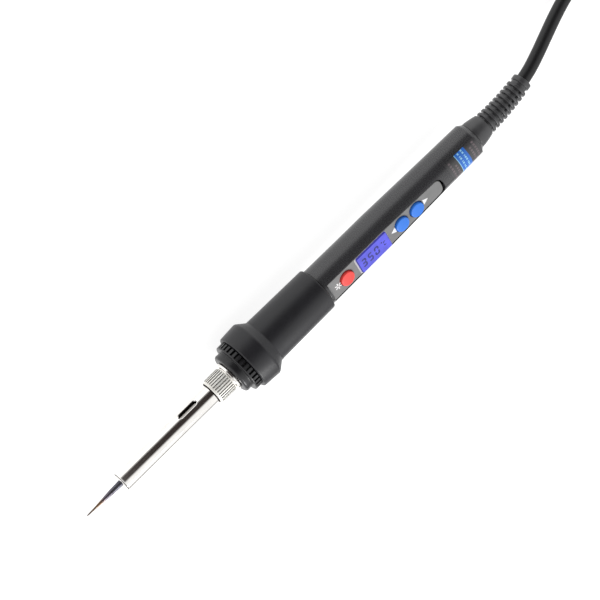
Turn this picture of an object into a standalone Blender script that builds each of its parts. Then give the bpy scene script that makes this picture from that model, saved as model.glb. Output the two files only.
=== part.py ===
"""Temperature-controlled soldering iron with a display in its handle, as an assembly.

The iron lies level on a bench, on the flare of its grip. Stations run along its axis
from the tip's point (0) to the end of the strain relief, in millimetres, and radii are
measured from that axis. World +X runs from the tip to the cord, +Z is up and the
control panel faces up. The free cord, its hank and its plug lie behind the iron.
"""

import math

import bmesh
import bpy
from mathutils import Matrix, Vector

MM = 0.001

# Driving dimensions, in millimetres
IRON_LENGTH = 264.0
FLARE_R = 13.85
BARREL_R = 4.55
BARREL_WALL = 0.4
NUT_R = 5.95
SLEEVE_R = 10.7
SHELL_WALL = 1.6
PANEL_TOP = 7.05
PANEL_FRONT, PANEL_REAR = 138.4, 206.3
PANEL_CORNER = 3.0
RECESS_INSET = 0.05
BUTTON_R = 3.5
BUTTON_RISE = 1.2
LENS_RISE = 0.9
BUTTON_TRAVEL = 0.6
CORD_R = 3.0
GAP = 0.3

# Stations, in millimetres from the point of the tip
TIP_REAR = 68.0
BARREL_FRONT, BARREL_REAR = 19.7, 75.6
NUT_FRONT, NUT_REAR = 73.4, 82.6
FLANGE_FRONT, FLANGE_REAR = 82.9, 84.1
CAP_FRONT, CAP_STEP, CAP_REAR = 84.4, 88.0, 91.3
SLEEVE_FRONT, SLEEVE_REAR = 91.6, 136.9
SHELL_FRONT, SHELL_REAR = 92.1, 230.5
BOARD_FRONT, BOARD_REAR = 137.5, 202.0
WINDOW_FRONT, WINDOW_REAR = 155.2, 172.9
BUTTONS = {"power": 148.1, "down": 181.2, "up": 190.2}
VENT_FRONT, VENT_REAR = 56.7, 64.5
BOARD_SCREWS = (141.0, 197.5)
FRONT_RIB, REAR_RIB = 211.0, 219.8  # of the cord anchor
BEND_START, BEND_LENGTH = 240.0, 24.0
BEND_ANGLE = math.radians(9.5)
BEND_SIDE = Vector((0.0, math.sqrt(0.5), -math.sqrt(0.5)))

# Heights above the iron's axis, in millimetres
BOARD_BOTTOM, BOARD_TOP = 1.0, 2.6
BACKLIGHT_BOTTOM, BACKLIGHT_TOP = 2.9, 4.0
LCD_BOTTOM, LCD_TOP = 4.3, 5.3
KEEPER_BOTTOM, KEEPER_TOP = 4.9, 5.4
PLUNGER_BOTTOM, PLUNGER_TOP = 3.6, 4.6
LEDGE = 5.6
CUT_TOP = 12.0  # where cutters that open upwards end

# Degrees round the axis from +Z towards +Y
VENT_ANGLES = (80, 200, 320)

# Half widths, in millimetres
WINDOW_HALF = 4.6
VENT_HALF = 1.2
BOARD_HALF = 6.0
KEEPER_HALF = 3.4

# Outer radius of the handle shell, as (station, radius)
SHELL_OUTLINE = (
    (137.2, 9.2),
    (157.0, 9.05),
    (173.0, 9.0),
    (195.0, 8.55),
    (212.0, 8.25),
    (228.5, 8.0),
)

ROUND = 32  # segments of the handle's round pieces
FINE = 60  # segments of the ridged pieces: two to a ridge
SMALL = 20  # segments of small round pieces
TINY = 16  # segments of the smallest ones, and of the bent pieces

# Free cord: route points on the bench, in metres, from the strain relief to the hank
CORD_ROUTE = (
    (0.13220, 0.00144, 0.01241),
    (0.13800, 0.00250, 0.01150),
    (0.14500, 0.00430, 0.01000),
    (0.15300, 0.00650, 0.00800),
    (0.16100, 0.00870, 0.00605),
    (0.16900, 0.01070, 0.00445),
    (0.17700, 0.01250, 0.00350),
    (0.18500, 0.01430, 0.00320),
    (0.19090, 0.01565, 0.00325),
)
CORD_STEP = 0.012

# Hank of folded cord, in metres
HANK_FRONT = 0.1890
HANK_LENGTH = 0.1268
HANK_HALF_WIDTH = 0.0270
HANK_BOTTOM = 0.0012
HANK_HEIGHT = 0.0180
HANK_EYE = 0.0150  # half the width of the opening inside the turns
RUNS_TOP_BELOW_PLUG = HANK_BOTTOM + 0.0120
TIE_THICKNESS = 0.0009
TIE_WIDTH = 0.0120

# Plug, in metres: it lies in line on the hank
PLUG_REAR = HANK_FRONT + 0.0725
PLUG_HALF_HEIGHT = 0.00685
PLUG_HALF_WIDTH = 0.01765
PLUG_Z = RUNS_TOP_BELOW_PLUG + GAP * MM + PLUG_HALF_HEIGHT
RELIEF_LENGTH = 0.019
PLUG_LENGTH = 0.053
PIN_LENGTH = 0.019
PIN_ROOT = 0.0076  # how deep a pin sits in the plug
PIN_POINT = 0.0006
PIN_R = 0.0020
PIN_OFFSET = 0.0093


def clear_scene():
    for obj in list(bpy.data.objects):
        bpy.data.objects.remove(obj, do_unlink=True)


def make_axis():
    """The iron's own frame: its origin is the point of the tip, at the axis' height."""
    axis = bpy.data.objects.new("iron_axis", None)
    axis.location = (-IRON_LENGTH / 2 * MM, 0, FLARE_R * MM)
    bpy.context.scene.collection.objects.link(axis)
    return axis


def material(name, color, roughness, metallic=0.0):
    made = bpy.data.materials.new(name)
    made.use_nodes = True
    shader = made.node_tree.nodes["Principled BSDF"]
    shader.inputs["Base Color"].default_value = (*color, 1.0)
    shader.inputs["Roughness"].default_value = roughness
    shader.inputs["Metallic"].default_value = metallic
    return made


def add_object(name, bm, finish, at=(0.0, 0.0, 0.0), parent=None):
    bmesh.ops.recalc_face_normals(bm, faces=bm.faces)
    mesh = bpy.data.meshes.new(name)
    bm.to_mesh(mesh)
    bm.free()
    mesh.shade_smooth()
    mesh.set_sharp_from_angle(angle=math.radians(35))
    obj = bpy.data.objects.new(name, mesh)
    obj.location = at
    obj.parent = parent
    if finish:
        mesh.materials.append(finish)
    bpy.context.scene.collection.objects.link(obj)
    return obj


def straight(station, y, z):
    return Vector((station, y, z)) * MM


def bent(station, y, z):
    """A point of the strain relief, whose axis bends down and aside after the handle."""
    past = max(0.0, station - BEND_START)
    angle = BEND_ANGLE * past / BEND_LENGTH
    radius = BEND_LENGTH / BEND_ANGLE
    turn = Matrix.Rotation(angle, 3, BEND_SIDE.cross(Vector((1, 0, 0))) * -1)
    centre = Vector((min(station, BEND_START) + radius * math.sin(angle), 0, 0))
    centre += BEND_SIDE * radius * (1 - math.cos(angle))
    return (centre + turn @ Vector((0, y, z))) * MM


def turned_mesh(profile, segments, place=straight):
    """Turns a closed profile of (station, radius[, groove depth]) round the axis.

    A groove depth lowers every second point of that ring, which leaves axial ridges.
    """
    bm = bmesh.new()
    rings = []
    for station, radius, *depth in profile:
        if radius == 0:
            rings.append([bm.verts.new(place(station, 0, 0))] * segments)
            continue
        ring = []
        for k in range(segments):
            angle = 2 * math.pi * k / segments
            r = radius - (depth[0] if depth and k % 2 else 0)
            ring.append(bm.verts.new(place(station, r * math.sin(angle), r * math.cos(angle))))
        rings.append(ring)
    for first, second in zip(rings, rings[1:] + rings[:1]):
        for k in range(segments):
            n = (k + 1) % segments
            corners = dict.fromkeys((first[k], first[n], second[n], second[k]))
            if len(corners) > 2:
                bm.faces.new(corners)
    return bm


def turned(name, profile, finish, segments=ROUND, place=straight, at=(0, 0, 0)):
    return add_object(name, turned_mesh(profile, segments, place), finish, at, AXIS)


def prism_mesh(outline, low, high, along):
    """Extrudes a closed outline of 2-D points from low to high along X or Z."""

    def place(point, depth):
        return (depth, *point) if along == "X" else (*point, depth)

    bm = bmesh.new()
    base = bm.faces.new([bm.verts.new(place(p, low)) for p in outline])
    grown = bmesh.ops.extrude_face_region(bm, geom=[base])["geom"]
    shift = Vector(place((0, 0), high - low))
    moved = [v for v in grown if isinstance(v, bmesh.types.BMVert)]
    bmesh.ops.translate(bm, verts=moved, vec=shift)
    return bm


def prism(name, outline, low, high, along, finish, at=(0, 0, 0)):
    """A prism in the iron's frame, measured in millimetres."""
    bm = prism_mesh(outline, low, high, along)
    bmesh.ops.scale(bm, vec=(MM, MM, MM), verts=bm.verts)
    return add_object(name, bm, finish, at, AXIS)


def turned_cutter(name, outline, low, high, degrees):
    """A prism that stands up from the axis, turned round it from +Z towards +Y."""
    bm = prism_mesh(outline, low, high, "Z")
    bmesh.ops.scale(bm, vec=(MM, MM, MM), verts=bm.verts)
    turn = Matrix.Rotation(math.radians(-degrees), 3, "X")
    bmesh.ops.rotate(bm, matrix=turn, verts=bm.verts)
    return add_object(name, bm, None, parent=AXIS)


def rectangle(x0, x1, y0, y1):
    return [(x0, y0), (x1, y0), (x1, y1), (x0, y1)]


def arc(cx, cy, radius, start, end, steps):
    angles = [math.radians(start + (end - start) * k / steps) for k in range(steps + 1)]
    return [(cx + radius * math.cos(a), cy + radius * math.sin(a)) for a in angles]


def circle(cx, cy, radius, segments=SMALL):
    return arc(cx, cy, radius, 0, 360, segments)[:-1]


def rounded_rectangle(x0, x1, y0, y1, radius, steps=4):
    corners = ((x1, y1, 0), (x0, y1, 90), (x0, y0, 180), (x1, y0, 270))
    points = []
    for x, y, start in corners:
        cx = x - radius if x == x1 else x + radius
        cy = y - radius if y == y1 else y + radius
        points += arc(cx, cy, radius, start, start + 90, steps)
    return points


def racetrack(front, rear, half_width, steps=6):
    """A strip with round ends, whose end circles are centred at front and rear."""
    return arc(rear, 0, half_width, -90, 90, steps) + arc(front, 0, half_width, 90, 270, steps)


def combine(target, tool, operation):
    modifier = target.modifiers.new(tool.name, "BOOLEAN")
    modifier.operation = operation
    modifier.object = tool
    tool.hide_render = True
    tool.display_type = "WIRE"


def cut(target, tool):
    combine(target, tool, "DIFFERENCE")


def join(target, tool):
    combine(target, tool, "UNION")


def cylinder_up(name, station, radius, low, high, finish=None, segments=SMALL):
    return prism(name, circle(station, 0, radius, segments), low, high, "Z", finish)


def shell_radius(station):
    """Outer radius of the handle shell behind the grip sleeve."""
    for (a0, r0), (a1, r1) in zip(SHELL_OUTLINE, SHELL_OUTLINE[1:]):
        if station <= a1:
            return r0 + (r1 - r0) * (station - a0) / (a1 - a0)
    return SHELL_OUTLINE[-1][1]


# Hot end -------------------------------------------------------------------------


def soldering_tip():
    profile = [
        (0.0, 0.0),
        (0.15, 0.18),
        (0.6, 0.3),
        (5.0, 0.52),
        (9.0, 0.8),
        (14.0, 1.2),
        (20.6, 1.4),
        (21.6, 2.0),
        (21.6, 3.6),
        (21.9, 3.8),
        (24.0, 3.8),
        (24.3, 3.25),
        (TIP_REAR, 3.25),
        (TIP_REAR, 2.05),
        (27.5, 2.05),
        (26.8, 0.0),
    ]
    return turned("soldering_tip", profile, STEEL_DARK, SMALL)


def barrel_sleeve():
    inner = BARREL_R - BARREL_WALL
    rolled_edge = BARREL_R + 0.4
    slot = racetrack(VENT_FRONT, VENT_REAR, VENT_HALF, 5)
    profile = [
        (BARREL_FRONT, 1.7),
        (BARREL_FRONT, 3.3),
        (20.0, 4.0),
        (20.5, 4.4),
        (21.2, BARREL_R),
        (74.8, BARREL_R),
        (74.8, rolled_edge),
        (BARREL_REAR, rolled_edge),
        (BARREL_REAR, inner),
        (21.2, inner),
        (20.6, 3.7),
        (20.2, 3.2),
        (20.2, 1.7),
    ]
    sleeve = turned("barrel_sleeve", profile, STEEL, ROUND)
    for k, degrees in enumerate(VENT_ANGLES):
        cut(sleeve, turned_cutter(f"vent_cutter_{k}", slot, 2.5, 6.5, degrees))
    return sleeve


def barrel_nut():
    lip, bore, ridge = 4.75, 5.25, 0.22
    rim = NUT_R - 0.25
    profile = [
        (NUT_FRONT, lip),
        (NUT_FRONT, 5.1),
        (73.8, rim),
        (74.4, rim),
        (74.5, NUT_R, ridge),
        (NUT_REAR - 0.6, NUT_R, ridge),
        (NUT_REAR - 0.5, NUT_R - 0.3),
        (NUT_REAR, 5.45),
        (NUT_REAR, bore),
        (74.4, bore),
        (74.4, lip),
    ]
    return turned("barrel_nut", profile, STEEL, FINE)


def nipple():
    thread, shank, bore, flange = 4.95, 4.5, 3.6, 7.0
    profile = [
        (76.2, bore),
        (76.2, thread - 0.4),
        (76.6, thread),
        (FLANGE_FRONT, thread),
        (FLANGE_FRONT, flange - 0.2),
        (FLANGE_FRONT + 0.2, flange),
        (FLANGE_REAR - 0.2, flange),
        (FLANGE_REAR, flange - 0.2),
        (FLANGE_REAR, shank),
        (98.0, shank),
        (98.0, bore),
    ]
    return turned("nipple", profile, STEEL, SMALL)


def nipple_locknut():
    front, rear, corner_r, bore = 89.8, 92.8, 5.85, 4.8
    hexagon = circle(0, 0, corner_r, 6)
    nut = prism("nipple_locknut", hexagon, front, rear, "X", BRASS)
    cut(nut, prism("locknut_cutter", circle(0, 0, bore), front - 1, rear + 1, "X", None))
    return nut


def collar(name, front, rear, bore, radius, finish):
    return turned(name, [(front, bore), (front, radius), (rear, radius), (rear, bore)], finish, SMALL)


def heater():
    rod = [(28.0, 0), (28.0, 1.5), (28.4, 1.8), (92.0, 1.8), (92.0, 0)]
    turned("heating_element", rod, CERAMIC, SMALL)
    collar("heater_collar", 84.0, 88.0, 2.1, 3.3, CERAMIC)
    collar("insulating_bush", 98.6, 103.0, 3.0, 7.1, FIBRE)


def wire(name, points, radius, finish):
    """An insulated wire through points given as (station, y, z) in millimetres."""
    curve = bpy.data.curves.new(name, "CURVE")
    curve.dimensions = "3D"
    curve.bevel_depth = radius * MM
    curve.bevel_resolution = 1
    curve.use_fill_caps = True
    spline = curve.splines.new("POLY")
    spline.points.add(len(points) - 1)
    for point, where in zip(spline.points, points):
        point.co = (*(Vector(where) * MM), 1)
    curve.materials.append(finish)
    obj = bpy.data.objects.new(name, curve)
    obj.parent = AXIS
    bpy.context.scene.collection.objects.link(obj)
    return obj


def eased(start, end, steps):
    """Points from start to end that leave and arrive along the axis."""
    points = []
    for k in range(steps + 1):
        t = k / steps
        ease = t * t * (3 - 2 * t)
        points.append(
            (
                start[0] + (end[0] - start[0]) * t,
                start[1] + (end[1] - start[1]) * ease,
                start[2] + (end[2] - start[2]) * ease,
            )
        )
    return points


def heater_leads():
    """Each lead runs from its place in the heater's end to its pad on the board."""
    front, rear, pad, radius = 92.4, 138.6, 3.5, 0.55
    ends = {
        "heater_lead_a": (1.1, 0.9, 1.3, RED_WIRE),
        "heater_lead_b": (-1.1, 0.9, -1.3, RED_WIRE),
        "sensor_lead_a": (1.1, -0.9, 3.6, WHITE_WIRE),
        "sensor_lead_b": (-1.1, -0.9, -3.6, WHITE_WIRE),
    }
    for name, (y, z, board_y, finish) in ends.items():
        wire(name, eased((front, y, z), (rear, board_y, pad), 9), radius, finish)


# Handle --------------------------------------------------------------------------


def front_cap():
    """The cap's slotted ring has a smooth front rim, and its spigot goes into the shell."""
    hole, step, crown, spigot, slots = 4.8, 9.85, 11.95, 7.1, 0.9
    profile = [
        (CAP_FRONT, hole),
        (CAP_FRONT, step - 0.9),
        (CAP_FRONT + 0.3, step - 0.3),
        (CAP_FRONT + 0.9, step),
        (CAP_STEP, step),
        (CAP_STEP, crown - 0.45),
        (CAP_STEP + 0.15, crown - 0.15),
        (CAP_STEP + 0.45, crown),
        (CAP_STEP + 0.8, crown),
        (CAP_STEP + 0.9, crown, slots),
        (CAP_REAR, crown, slots),
        (CAP_REAR, spigot),
        (98.0, spigot),
        (98.0, spigot - 0.9),
        (89.5, spigot - 0.9),
        (89.5, hole),
    ]
    return turned("front_cap", profile, PLASTIC, FINE)


def grip_sleeve():
    bore = 9.3
    profile = [
        (SLEEVE_FRONT, bore),
        (SLEEVE_FRONT, 13.0),
        (91.8, 13.3),
        (92.3, 13.5),
        (96.0, 13.7),
        (99.6, FLARE_R),
        (100.6, 13.75),
        (101.6, 13.4),
        (102.6, 12.75),
        (103.6, 11.85),
        (104.3, 11.1),
        (104.9, 10.85),
        (108.0, SLEEVE_R),
        (136.0, 10.4),
        (136.7, 10.1),
        (SLEEVE_REAR, 9.7),
        (SLEEVE_REAR, bore),
    ]
    return turned("grip_sleeve", profile, RUBBER)


def panel_half_width(station):
    """Half the width of the flat that PANEL_TOP cuts on the shell."""
    return math.sqrt(shell_radius(station) ** 2 - PANEL_TOP**2)


def panel_outline(inset, front, rear):
    """The panel from above: it narrows with the handle and has a rounded rear end."""
    corner = PANEL_CORNER
    stations = (front, 157.0, 173.0, 195.0, rear - corner)
    sides = [(a, panel_half_width(a) - inset) for a in stations]
    y = sides[-1][1]
    rounding = arc(rear - corner, y - corner, corner, 90, 0, 5)[1:]
    half = sides + rounding
    return half + [(a, -side) for a, side in reversed(half)]


def handle_shell():
    """One tube with two ribs that hold the cord's anchor, and two posts for the board."""
    rib, hole = 5.0, 4.4
    post, screw_hole, hole_bottom = 2.2, 1.1, -4.5
    inner = [(a, r - SHELL_WALL) for a, r in SHELL_OUTLINE]
    profile = [
        (SHELL_FRONT, 7.4),
        (SHELL_FRONT, 9.0),
        (137.2, 9.0),
        *SHELL_OUTLINE,
        (229.8, 7.8),
        (SHELL_REAR, 6.9),
        (SHELL_REAR, hole),
        (228.5, hole),
        inner[5],
        (REAR_RIB + 1.2, 6.5),
        (REAR_RIB + 1.2, rib),
        (REAR_RIB, rib),
        (REAR_RIB, 6.53),
        (FRONT_RIB + 1.2, inner[4][1]),
        (FRONT_RIB + 1.2, rib),
        (FRONT_RIB, rib),
        (FRONT_RIB, 6.67),
        inner[3],
        inner[2],
    ]
    shell = turned("handle_shell", profile, PLASTIC)
    for k, station in enumerate(BOARD_SCREWS):
        foot = -(shell_radius(station) - SHELL_WALL / 2)
        join(shell, cylinder_up(f"post_{k}", station, post, foot, BOARD_BOTTOM - GAP))
        cut(shell, cylinder_up(f"post_hole_{k}", station, screw_hole, hole_bottom, BOARD_BOTTOM))
    recess = panel_outline(RECESS_INSET, PANEL_FRONT, PANEL_REAR)
    cut(shell, prism("recess_cutter", recess, LEDGE, CUT_TOP, "Z", None))
    return shell


def panel_plate():
    outline = panel_outline(RECESS_INSET + GAP, PANEL_FRONT + GAP, PANEL_REAR - GAP)
    plate = prism("panel_plate", outline, LEDGE + GAP, PANEL_TOP, "Z", PANEL)
    half = WINDOW_HALF + GAP
    window = rounded_rectangle(WINDOW_FRONT - GAP, WINDOW_REAR + GAP, -half, half, 1.2)
    cut(plate, prism("window_cutter", window, LEDGE - 1, CUT_TOP, "Z", None))
    for name, station in BUTTONS.items():
        cut(plate, cylinder_up(f"{name}_hole", station, BUTTON_R + GAP, LEDGE - 1, CUT_TOP))
    return plate


def display():
    lens = rounded_rectangle(WINDOW_FRONT, WINDOW_REAR, -WINDOW_HALF, WINDOW_HALF, 0.9)
    prism("display_lens", lens, LEDGE + GAP, PANEL_TOP + LENS_RISE, "Z", GLASS)
    glass = rectangle(153.9, 174.2, -4.4, 4.4)
    prism("lcd_glass", glass, LCD_BOTTOM, LCD_TOP, "Z", LCD)
    backlight = rectangle(154.2, 171.6, -4.2, 4.2)
    prism("lcd_backlight", backlight, BACKLIGHT_BOTTOM, BACKLIGHT_TOP, "Z", BLUE)
    connector = rectangle(172.0, 173.6, -4.2, 4.2)
    prism("lcd_connector", connector, BACKLIGHT_BOTTOM, BACKLIGHT_TOP, "Z", RUBBER)


def upright(height, y, z):
    """Places a turned piece with its axis up."""
    return Vector((z, y, height)) * MM


def button(name, station, finish):
    """A round button with the oblong keeper under the panel that holds it in."""
    at = (station * MM, 0, 0)
    top = PANEL_TOP + BUTTON_RISE
    neck = BUTTON_R - 0.6
    profile = [
        (KEEPER_BOTTOM, 0),
        (KEEPER_BOTTOM, neck),
        (KEEPER_TOP - 0.1, neck),
        (KEEPER_TOP - 0.1, BUTTON_R),
        (top - 0.5, BUTTON_R),
        (top - 0.15, BUTTON_R - 0.3),
        (top, BUTTON_R - 1.0),
        (top + 0.08, 0),
    ]
    cap = turned(f"{name}_button", profile, finish, SMALL, upright, at)
    keeper = rectangle(-KEEPER_HALF - 1.0, KEEPER_HALF + 1.0, -KEEPER_HALF, KEEPER_HALF)
    join(cap, prism(f"{name}_keeper", keeper, KEEPER_BOTTOM, KEEPER_TOP, "Z", None, at))


def push_switch(name, station):
    """The plunger that carries the button, and the housing whose well it slides in."""
    plunger_r, well_r, half = 1.4, 1.7, 3.0
    floor = PLUNGER_BOTTOM - BUTTON_TRAVEL - 0.05
    plunger = [(PLUNGER_BOTTOM, 0), (PLUNGER_BOTTOM, plunger_r), (PLUNGER_TOP, plunger_r), (PLUNGER_TOP, 0)]
    turned(f"{name}_plunger", plunger, PLASTIC, TINY, upright, (station * MM, 0, 0))
    body = rectangle(station - half, station + half, -half, half)
    housing = prism(f"{name}_switch_housing", body, BOARD_TOP + GAP, 4.2, "Z", STEEL)
    cut(housing, cylinder_up(f"{name}_well", station, well_r, floor, 5.0, None, TINY))


def circuit_board():
    """The board under the panel, and the two screws that hold it to the shell's posts."""
    hole, shank_r, head_r = 1.2, 0.8, 1.7
    shank_bottom, head_bottom, head_top = -3.2, BOARD_TOP + GAP, 4.1
    outline = rounded_rectangle(BOARD_FRONT, BOARD_REAR, -BOARD_HALF, BOARD_HALF, 1.0)
    board = prism("circuit_board", outline, BOARD_BOTTOM, BOARD_TOP, "Z", BOARD)
    for k, station in enumerate(BOARD_SCREWS):
        cut(board, cylinder_up(f"board_hole_{k}", station, hole, BOARD_BOTTOM - 1, BOARD_TOP + 1))
        screw = cylinder_up(f"board_screw_{k + 1}", station, shank_r, shank_bottom, 3.2, STEEL, TINY)
        join(screw, cylinder_up(f"screw_head_{k}", station, head_r, head_bottom, head_top, STEEL, TINY))


def board_parts():
    """The larger components, which hang under the board."""
    under = BOARD_BOTTOM - GAP
    prism("microcontroller", rectangle(161.5, 168.5, -3.5, 3.5), under - 1.2, under, "Z", PLASTIC)
    prism("triac", rectangle(185.5, 192.0, -4.0, 4.0), under - 2.3, under, "Z", PLASTIC)
    capacitor_r, fuse_r = 3.0, 1.5
    capacitor = circle(0, under - capacitor_r - 1.0, capacitor_r)
    prism("filter_capacitor", capacitor, 171.0, 183.0, "X", ORANGE)
    fuse = circle(0, under - fuse_r - 0.4, fuse_r, TINY)
    prism("fuse", fuse, 149.0, 157.5, "X", CERAMIC)


def rating_label():
    """A sticker round the rear of the shell, a quarter turn wide, on its own facets."""
    front, rear = 213.0, 227.0
    lift, thickness = 0.05, 0.15
    half = ROUND // 8
    angles = [2 * math.pi * k / ROUND for k in range(-half, half + 1)]
    corners = ((front, lift), (rear, lift), (rear, lift + thickness), (front, lift + thickness))
    bm = bmesh.new()
    rings = []
    for station, height in corners:
        radius = shell_radius(station) + height
        places = [straight(station, radius * math.sin(t), radius * math.cos(t)) for t in angles]
        rings.append([bm.verts.new(place) for place in places])
    for first, second in zip(rings, rings[1:] + rings[:1]):
        for k in range(2 * half):
            bm.faces.new((first[k], first[k + 1], second[k + 1], second[k]))
    bm.faces.new([ring[0] for ring in rings])
    bm.faces.new([ring[-1] for ring in rings])
    return add_object("rating_label", bm, LABEL, parent=AXIS)


# Cord end ------------------------------------------------------------------------


def strain_relief_boot():
    """A domed root held in the shell's end by a groove, then ribs that get smaller."""
    bore = CORD_R + GAP
    first_rib, pitch, rib_width, depth, ribs = 239.15, 2.42, 1.3, 0.8, 9
    ring_front, ring_r = 261.6, 4.4
    profile = [
        (224.8, bore),
        (224.8, 5.9),
        (228.1, 5.9),
        (228.1, 4.1),
        (230.8, 4.1),
        (230.8, 6.4),
        (231.8, 6.45),
        (234.0, 6.15),
        (236.4, 5.65),
        (237.9, 5.3),
        (238.1, 4.5),
    ]
    for k in range(ribs):
        start = first_rib + pitch * k
        outer = 5.3 - 0.07 * k
        profile += [
            (start - 0.1, outer - depth),
            (start, outer),
            (start + rib_width, outer),
            (start + rib_width + 0.1, outer - depth),
        ]
    profile += [(ring_front, ring_r - 0.4), (ring_front + 0.1, ring_r)]
    profile += [(IRON_LENGTH, ring_r), (IRON_LENGTH, bore)]
    inner = [(a, bore) for a in (258.0, 252.0, 246.0, BEND_START)]
    return turned("strain_relief_boot", profile + inner, RUBBER, TINY, bent)


def inner_cord():
    """The sheath inside the handle and the boot, its anchor ring and its two cores."""
    front, pads, pad_height = 209.5, 199.7, 4.1
    stations = (front, BEND_START, 246.0, 252.0, 258.0, IRON_LENGTH - 0.2)
    profile = [(front, 0)] + [(a, CORD_R) for a in stations] + [(stations[-1], 0)]
    turned("cord_sheath", profile, RUBBER, TINY, bent)
    collar("cord_anchor", FRONT_RIB + 1.6, REAR_RIB - 0.4, CORD_R + GAP, 6.0, PLASTIC)
    for name, side, finish in (("core_live", 1, BROWN_WIRE), ("core_neutral", -1, BLUE_WIRE)):
        route = eased((front - GAP, 1.3 * side, 0), (pads, 3.0 * side, pad_height), 8)
        wire(name, route, 0.6, finish)


def smooth_route(points, step):
    """Points every step along a Catmull-Rom curve through the given points."""
    points = [Vector(p) for p in points]
    ends = [2 * points[0] - points[1], *points, 2 * points[-1] - points[-2]]
    dense = []
    for p0, p1, p2, p3 in zip(ends, ends[1:], ends[2:], ends[3:]):
        for k in range(16):
            t = k / 16
            dense.append(
                0.5
                * (
                    2 * p1
                    + (p2 - p0) * t
                    + (2 * p0 - 5 * p1 + 4 * p2 - p3) * t**2
                    + (3 * p1 - p0 - 3 * p2 + p3) * t**3
                )
            )
    dense.append(points[-1])
    kept, since = [dense[0]], 0.0
    for before, point in zip(dense, dense[1:]):
        since += (point - before).length
        if since >= step:
            kept.append(point)
            since = 0.0
    if (kept[-1] - dense[-1]).length < step / 2:
        kept.pop()
    return kept + [dense[-1]]


def free_cord():
    curve = bpy.data.curves.new("cord", "CURVE")
    curve.dimensions = "3D"
    curve.bevel_depth = CORD_R * MM
    curve.bevel_resolution = 4
    curve.use_fill_caps = True
    route = smooth_route(CORD_ROUTE, CORD_STEP)
    spline = curve.splines.new("POLY")
    spline.points.add(len(route) - 1)
    for point, where in zip(spline.points, route):
        point.co = (*where, 1)
    curve.materials.append(RUBBER)
    obj = bpy.data.objects.new("cord", curve)
    bpy.context.scene.collection.objects.link(obj)
    return obj


def hank():
    """The folded cord as one solid, with a pocket in its top for the plug.

    The opening inside the turns stops under the pocket, where the cord rises to the plug.
    """
    front = HANK_FRONT + HANK_HALF_WIDTH
    rear = HANK_FRONT + HANK_LENGTH - HANK_HALF_WIDTH
    top = HANK_BOTTOM + HANK_HEIGHT
    outline = racetrack(front, rear, HANK_HALF_WIDTH, 12)
    solid = add_object("cord_hank", prism_mesh(outline, HANK_BOTTOM, top, "Z"), RUBBER)
    half_pocket = PLUG_HALF_WIDTH + GAP * MM
    pocket = rectangle(PLUG_REAR - GAP * MM, rear + 0.05, -half_pocket, half_pocket)
    cut(solid, add_object("pocket_cutter", prism_mesh(pocket, RUNS_TOP_BELOW_PLUG, 0.05, "Z"), None))
    eye = racetrack(front + 0.005, rear - 0.001, HANK_EYE)
    eye_mesh = prism_mesh(eye, -0.01, RUNS_TOP_BELOW_PLUG, "Z")
    cut(solid, add_object("eye_cutter", eye_mesh, None))
    return solid


def hank_tie():
    """A strap round the hank and the plug, under the runs and over the plug."""
    gap = GAP * MM
    side = HANK_HALF_WIDTH + gap
    shoulder = HANK_BOTTOM + HANK_HEIGHT + gap
    top = PLUG_Z + PLUG_HALF_HEIGHT + gap
    half_top = PLUG_HALF_WIDTH - 0.001
    inner = [(side, TIE_THICKNESS), (side, shoulder), (half_top, top)]
    outer = [
        (side + TIE_THICKNESS, 0.0),
        (side + TIE_THICKNESS, shoulder + TIE_THICKNESS / 2),
        (half_top + TIE_THICKNESS / 2, top + TIE_THICKNESS),
    ]
    start = PLUG_REAR + RELIEF_LENGTH + 0.005

    def mirrored(half):
        return half + [(-y, z) for y, z in reversed(half)]

    strap = prism_mesh(mirrored(outer), start, start + TIE_WIDTH, "X")
    tie = add_object("hank_tie", strap, FABRIC)
    opening = prism_mesh(mirrored(inner), start - 0.01, start + TIE_WIDTH + 0.01, "X")
    cut(tie, add_object("tie_cutter", opening, None))
    return tie


def oval_ring(bm, x, half_y, half_z, power, segments=28):
    """One section of the plug's body: an ellipse at power 2, and squarer above it."""
    section = []
    for k in range(segments):
        angle = 2 * math.pi * k / segments
        c, s = math.cos(angle), math.sin(angle)
        y = half_y * math.copysign(abs(c) ** (2 / power), c)
        z = half_z * math.copysign(abs(s) ** (2 / power), s)
        section.append(bm.verts.new((x, y, PLUG_Z + z)))
    return section


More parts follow.
